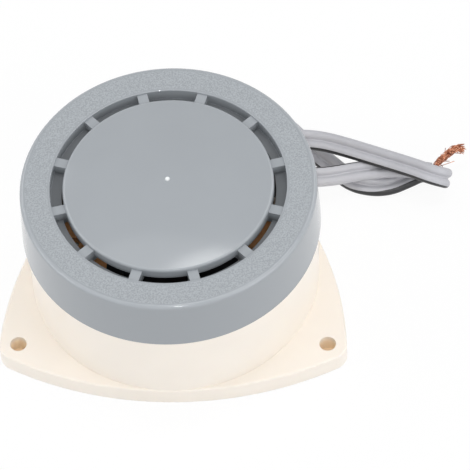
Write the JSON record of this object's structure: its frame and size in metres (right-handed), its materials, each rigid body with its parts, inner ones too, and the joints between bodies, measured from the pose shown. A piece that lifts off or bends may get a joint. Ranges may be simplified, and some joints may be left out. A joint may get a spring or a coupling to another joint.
{
  "type": "doorbell sounder",
  "caption": "Round wired doorbell buzzer: slotted domed cap on a three-cornered base with fixing holes, magnet and reed inside, and a free length of twin flex.",
  "frame": {"origin": "on the axis of the round case at its mounting face, which is the centre of the fixing circle", "axes": "+Z along the case's axis, away from the wall; +Y through one flange corner and its fixing hole; +X to the right when that corner is at the top"},
  "size_m": [0.1179, 0.0889, 0.0454],
  "materials": {
    "cream_moulding": "smooth moulded plastic",
    "grey_moulding": "smooth disc and side, fine grain on the flat ring",
    "phenolic_board": "brown paper phenolic board",
    "black_steel": "black finished strip steel",
    "lamination_steel": "stacked core plates",
    "bobbin_plastic": "black moulding",
    "enamelled_wire": "copper winding",
    "coil_tape": "yellow wrapping tape",
    "plated_steel": "zinc plated",
    "spring_steel": "thin strip",
    "screw_steel": "zinc plated screws and rivets",
    "tinned_brass": "solder tags and rivets",
    "grommet_rubber": "black rubber",
    "flex_sheath": "soft grey insulation with a black tracer on one core",
    "core_sleeve": "black sleeving",
    "copper": "bare copper strands"
  },
  "bodies": {
    "housing": {"base_housing": "cream_moulding", "cap": "grey_moulding", "mounting_plate": "phenolic_board", "magnet_frame": "black_steel", "core_laminations": "lamination_steel", "core_rivets": "screw_steel", "bobbin": "bobbin_plastic", "coil_winding": "enamelled_wire", "coil_tape": "coil_tape", "reed_clamp": "plated_steel", "clamp_screws": "screw_steel", "adjusting_screw": "screw_steel", "lock_nut": "plated_steel", "frame_rivets": "screw_steel", "plate_screws": "screw_steel", "cap_screws": "screw_steel", "tag_rivets": "tinned_brass", "solder_tags": "tinned_brass", "cord_grommet": "grommet_rubber", "cord_clamp": "bobbin_plastic", "cord_clamp_screws": "screw_steel", "flex_cord": "flex_sheath", "flex_inner": "flex_sheath", "supply_cores": "flex_sheath", "coil_leads": "core_sleeve", "bare_strands": "copper"},
    "armature": {"armature": "plated_steel", "armature_reed": "spring_steel", "reed_rivets": "screw_steel"}
  },
  "joints": [
    {"name": "armature_hinge", "type": "hinge", "parent": "housing", "child": "armature", "pos_m": [0, 0.0195, 0.0368], "axis": [1, 0, 0], "range_deg": [-0.3, 1.6], "stiffness_Nm_per_rad": 0.5}
  ]
}
